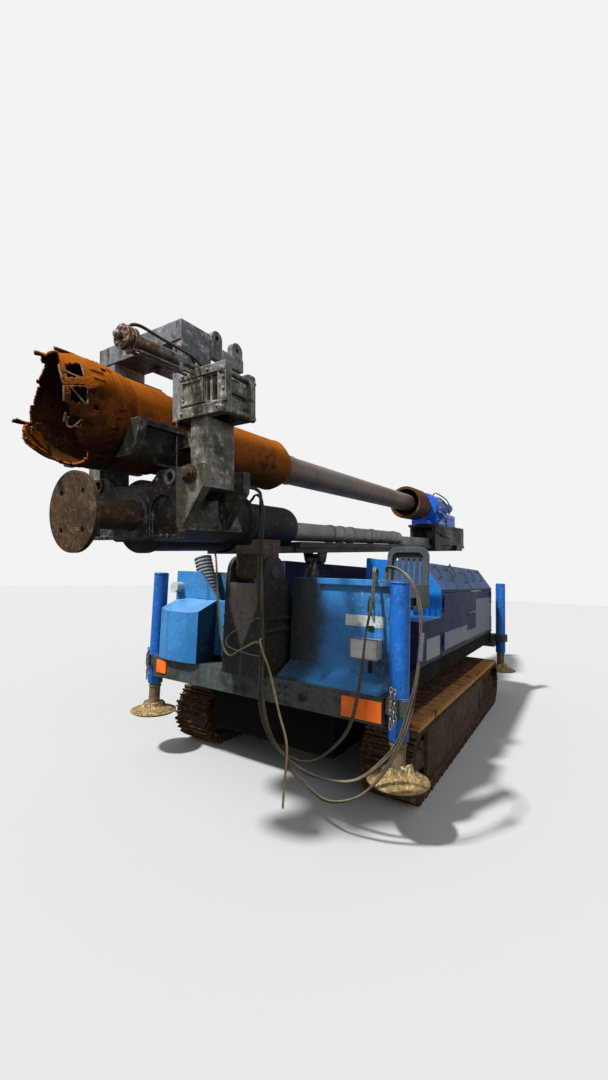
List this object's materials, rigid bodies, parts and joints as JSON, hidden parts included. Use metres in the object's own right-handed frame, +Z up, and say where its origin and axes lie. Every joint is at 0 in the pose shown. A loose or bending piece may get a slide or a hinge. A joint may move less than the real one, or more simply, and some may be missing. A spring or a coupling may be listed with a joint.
{
  "type": "rotary piling rig",
  "caption": "Tracked rotary piling rig with a parked horizontal mast, rusty casing and crown, front clamp, open driver's seat and hooded engine.",
  "frame": {"origin": "on the ground under the middle of the whole machine", "axes": "+X along the machine towards the drilling end, +Y to the machine's left, +Z up"},
  "size_m": [8.6166, 2.8277, 3.1936],
  "materials": {
    "blue_paint": "glossy enamel, scuffed",
    "hood_paint": "dull enamel",
    "dark_steel": "greasy paint over steel",
    "grey_steel": "worn bare casting",
    "pale_paint": "chalky pale grey",
    "rusty_steel": "rust scale",
    "brown_steel": "brown patina",
    "track_steel": "rust and dried mud",
    "bright_rod": "hard chrome",
    "seat_plastic": "moulded",
    "seat_vinyl": "worn vinyl",
    "duct_plastic": "ribbed",
    "lamp_plastic": "clear lens over a bright bowl",
    "reflector_orange": "moulded",
    "hose_rubber": "dusty rubber",
    "rope_fibre": "twisted fibre"
  },
  "bodies": {
    "chassis": {"carbody": "blue_paint", "crossbeams": "blue_paint", "track_frame_left": "dark_steel", "track_frame_right": "dark_steel", "track_left": "track_steel", "track_right": "track_steel", "stabiliser_tubes": "blue_paint", "front_box_left": "blue_paint", "front_box_right": "blue_paint", "lamp_box": "blue_paint", "lamps": "lamp_plastic", "reflectors": "reflector_orange", "intake_duct": "duct_plastic", "seat_box": "blue_paint", "seat_frame": "seat_plastic", "seat_cushion": "seat_vinyl", "lever_stand": "dark_steel", "hood_shell": "hood_paint", "engine_block": "grey_steel", "tank_hood": "hood_paint", "rear_grille": "dark_steel", "kingpost": "dark_steel", "mast_rest": "dark_steel", "front_hoses": "hose_rubber", "front_ropes": "rope_fibre"},
    "leg_front_left": {"leg_front_left": "track_steel"},
    "leg_front_right": {"leg_front_right": "track_steel"},
    "leg_rear_left": {"leg_rear_left": "track_steel"},
    "leg_rear_right": {"leg_rear_right": "track_steel"},
    "hood_door_front": {"hood_door_front": "hood_paint"},
    "hood_door_rear": {"hood_door_rear": "hood_paint"},
    "mast": {"mast_saddle": "dark_steel", "mast_sleeve": "dark_steel", "mast_rear_tube": "dark_steel", "mast_beam": "dark_steel", "feed_cylinder": "pale_paint", "mast_head": "grey_steel", "clamp_base": "dark_steel", "clamp_arms": "dark_steel", "clamp_frame": "grey_steel", "clamp_housings": "dark_steel", "clamp_cylinder": "grey_steel", "clamp_jaws": "grey_steel"},
    "mast_foot": {"mast_foot": "brown_steel"},
    "feed": {"feed_carriage": "dark_steel", "rotary_drive": "blue_paint"},
    "spindle": {"drive_bell": "rusty_steel", "drill_rod": "brown_steel", "drill_casing": "rusty_steel", "crown_bit": "rusty_steel"},
    "lift_barrel": {"lift_barrel": "dark_steel"},
    "lift_rod": {"lift_rod": "bright_rod"}
  },
  "joints": [
    {"name": "mast_raise", "type": "hinge", "parent": "chassis", "child": "mast", "pos_m": [2.56443, 0, 1.7], "axis": [0, 1, 0], "range_deg": [0, 86], "deforming": ["front_hoses", "front_ropes"]},
    {"name": "lift_barrel_turn", "type": "hinge", "parent": "chassis", "child": "lift_barrel", "pos_m": [2.05443, 0, 0.72], "axis": [0, 1, 0], "range_deg": [-2, 50]},
    {"name": "lift_rod_out", "type": "slide", "parent": "lift_barrel", "child": "lift_rod", "axis": [-0.355, 0, 0.9349], "range_m": [-0.01, 0.9]},
    {"name": "feed_travel", "type": "slide", "parent": "mast", "child": "feed", "axis": [0.9976, 0, -0.0698], "range_m": [0, 3]},
    {"name": "spindle_spin", "type": "hinge", "parent": "feed", "child": "spindle", "pos_m": [-1.88178, 0, 2.91311], "axis": [0.9976, 0, -0.0698], "continuous": true},
    {"name": "foot_out", "type": "slide", "parent": "mast", "child": "mast_foot", "axis": [0.9976, 0, -0.0698], "range_m": [0, 0.3]},
    {"name": "leg_front_left_down", "type": "slide", "parent": "chassis", "child": "leg_front_left", "axis": [0, 0, -1], "range_m": [0, 0.4]},
    {"name": "leg_front_right_down", "type": "slide", "parent": "chassis", "child": "leg_front_right", "axis": [0, 0, -1], "range_m": [0, 0.4]},
    {"name": "leg_rear_left_down", "type": "slide", "parent": "chassis", "child": "leg_rear_left", "axis": [0, 0, -1], "range_m": [0, 0.4]},
    {"name": "leg_rear_right_down", "type": "slide", "parent": "chassis", "child": "leg_rear_right", "axis": [0, 0, -1], "range_m": [0, 0.4]},
    {"name": "hood_door_front_open", "type": "hinge", "parent": "chassis", "child": "hood_door_front", "pos_m": [0.99443, 1.1013, 1.2], "axis": [0, 0, -1], "range_deg": [0, 90]},
    {"name": "hood_door_rear_open", "type": "hinge", "parent": "chassis", "child": "hood_door_rear", "pos_m": [-1.67557, 1.1013, 1.2], "axis": [0, 0, 1], "range_deg": [0, 90]}
  ],
  "couplings": [
    {"joint": "lift_barrel_turn", "follows": "mast_raise", "ratio": 0.4426},
    {"joint": "lift_rod_out", "follows": "mast_raise", "m_per_rad": 0.53692}
  ]
}
